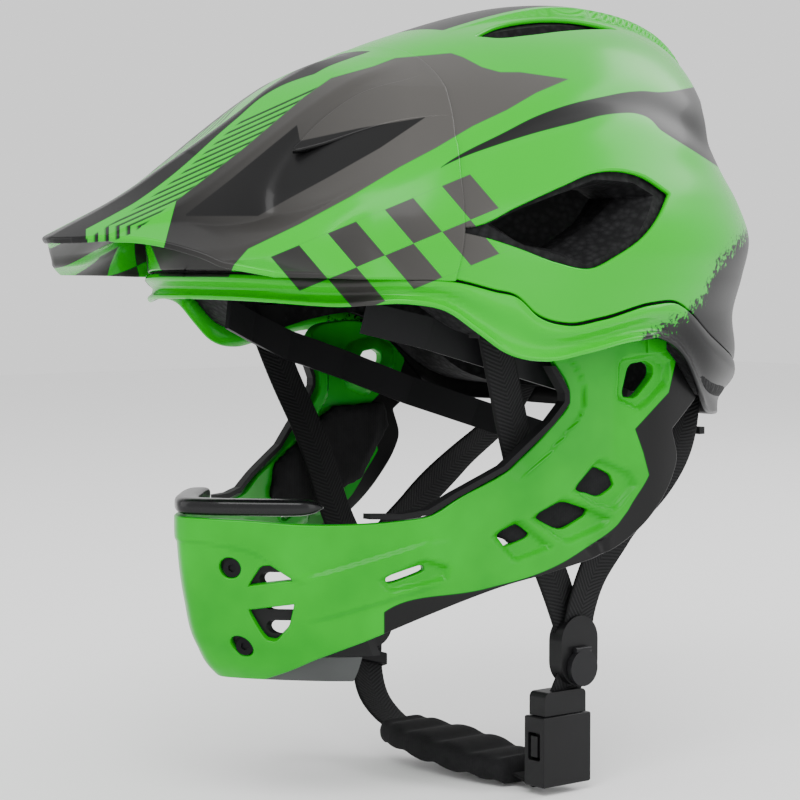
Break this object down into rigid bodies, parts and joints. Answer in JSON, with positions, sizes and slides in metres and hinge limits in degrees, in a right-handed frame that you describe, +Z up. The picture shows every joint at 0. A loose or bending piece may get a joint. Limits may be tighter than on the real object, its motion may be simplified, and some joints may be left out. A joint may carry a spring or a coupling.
{
  "type": "full face bicycle helmet",
  "caption": "Downhill bicycle helmet with a peaked visor, foam liner, dial fit, webbing straps with side release buckle and a chin guard that slides off.",
  "frame": {"origin": "middle of the head at brow height, inside the head space", "axes": "-Y to the front (where the visor points), +X to the wearer's left, +Z up to the crown"},
  "size_m": [0.203, 0.325, 0.3034],
  "materials": {
    "shell_paint": "glossy in-mould shell, green with satin black and grey panels",
    "guard_plastic": "satin translucent green",
    "foam": "moulded black bead foam",
    "pad_fabric": "brushed black pad fabric",
    "fitting_plastic": "moulded black acetal",
    "rubber_trim": "soft black rubber",
    "tray_plastic": "moulded dark grey",
    "screw_steel": "black oxide",
    "webbing": "woven black webbing"
  },
  "bodies": {
    "helmet": {"upper_shell": "shell_paint", "lower_shell": "shell_paint", "visor": "shell_paint", "eps_liner": "foam", "brow_pad": "pad_fabric", "crown_pad": "pad_fabric", "side_pad_left": "pad_fabric", "side_pad_right": "pad_fabric", "chin_pad": "pad_fabric", "visor_pegs": "fitting_plastic", "catch_left": "fitting_plastic", "catch_right": "fitting_plastic", "strap_anchors": "fitting_plastic", "strap_divider_left": "fitting_plastic", "strap_divider_right": "fitting_plastic", "buckle_plug": "fitting_plastic", "buckle_socket": "fitting_plastic", "fit_band_left": "fitting_plastic", "fit_band_right": "fitting_plastic", "nape_cradle": "fitting_plastic", "dial_housing": "fitting_plastic", "strap_keeper": "rubber_trim", "front_strap_left": "webbing", "front_strap_right": "webbing", "rear_strap_left": "webbing", "rear_strap_right": "webbing", "lower_strap_left": "webbing", "chin_strap": "webbing"},
    "guard": {"chin_guard": "guard_plastic", "chin_screws": "screw_steel", "vent_grille": "fitting_plastic", "lip_cushion": "rubber_trim", "edge_trim": "rubber_trim", "chin_tray": "tray_plastic", "cheek_pad_left": "pad_fabric", "cheek_pad_right": "pad_fabric"},
    "latch_left": {"latch_button_left": "guard_plastic"},
    "latch_right": {"latch_button_right": "guard_plastic"},
    "dial": {"dial_knob": "fitting_plastic", "dial_pinion": "fitting_plastic"},
    "rack_left": {"band_rack_left": "fitting_plastic"},
    "rack_right": {"band_rack_right": "fitting_plastic"},
    "cam_left": {"divider_cam_left": "fitting_plastic"},
    "cam_right": {"divider_cam_right": "fitting_plastic"},
    "arm_front": {"buckle_arm_front": "fitting_plastic"},
    "arm_rear": {"buckle_arm_rear": "fitting_plastic"}
  },
  "joints": [
    {"name": "chin_guard_slide", "type": "slide", "parent": "helmet", "child": "guard", "axis": [0, 0, -1], "range_m": [0, 0.03]},
    {"name": "latch_press_left", "type": "slide", "parent": "guard", "child": "latch_left", "axis": [-1, 0, 0], "range_m": [0, 0.002], "stiffness_N_per_m": 300},
    {"name": "latch_press_right", "type": "slide", "parent": "guard", "child": "latch_right", "axis": [1, 0, 0], "range_m": [0, 0.002], "stiffness_N_per_m": 300},
    {"name": "dial_turn", "type": "hinge", "parent": "helmet", "child": "dial", "pos_m": [0, 0.102, -0.057], "axis": [0, -1, 0], "range_deg": [0, 114]},
    {"name": "rack_left_slide", "type": "slide", "parent": "helmet", "child": "rack_left", "axis": [-1, 0, 0], "range_m": [0, 0.012]},
    {"name": "rack_right_slide", "type": "slide", "parent": "helmet", "child": "rack_right", "axis": [1, 0, 0], "range_m": [0, 0.012]},
    {"name": "divider_cam_left_flip", "type": "hinge", "parent": "helmet", "child": "cam_left", "pos_m": [0.067, 0.01, -0.1275], "axis": [0, -1, 0], "range_deg": [0, 90]},
    {"name": "divider_cam_right_flip", "type": "hinge", "parent": "helmet", "child": "cam_right", "pos_m": [-0.067, 0.01, -0.1275], "axis": [0, 1, 0], "range_deg": [0, 90]},
    {"name": "buckle_press_front", "type": "hinge", "parent": "helmet", "child": "arm_front", "pos_m": [0.06, -0.0046, -0.1538], "axis": [1, 0, 0], "range_deg": [0, 8], "stiffness_Nm_per_rad": 0.05},
    {"name": "buckle_press_rear", "type": "hinge", "parent": "helmet", "child": "arm_rear", "pos_m": [0.06, 0.0118, -0.1538], "axis": [-1, 0, 0], "range_deg": [0, 8], "stiffness_Nm_per_rad": 0.05}
  ],
  "couplings": [
    {"joint": "rack_left_slide", "follows": "dial_turn", "m_per_rad": 0.006},
    {"joint": "rack_right_slide", "follows": "dial_turn", "m_per_rad": 0.006}
  ]
}
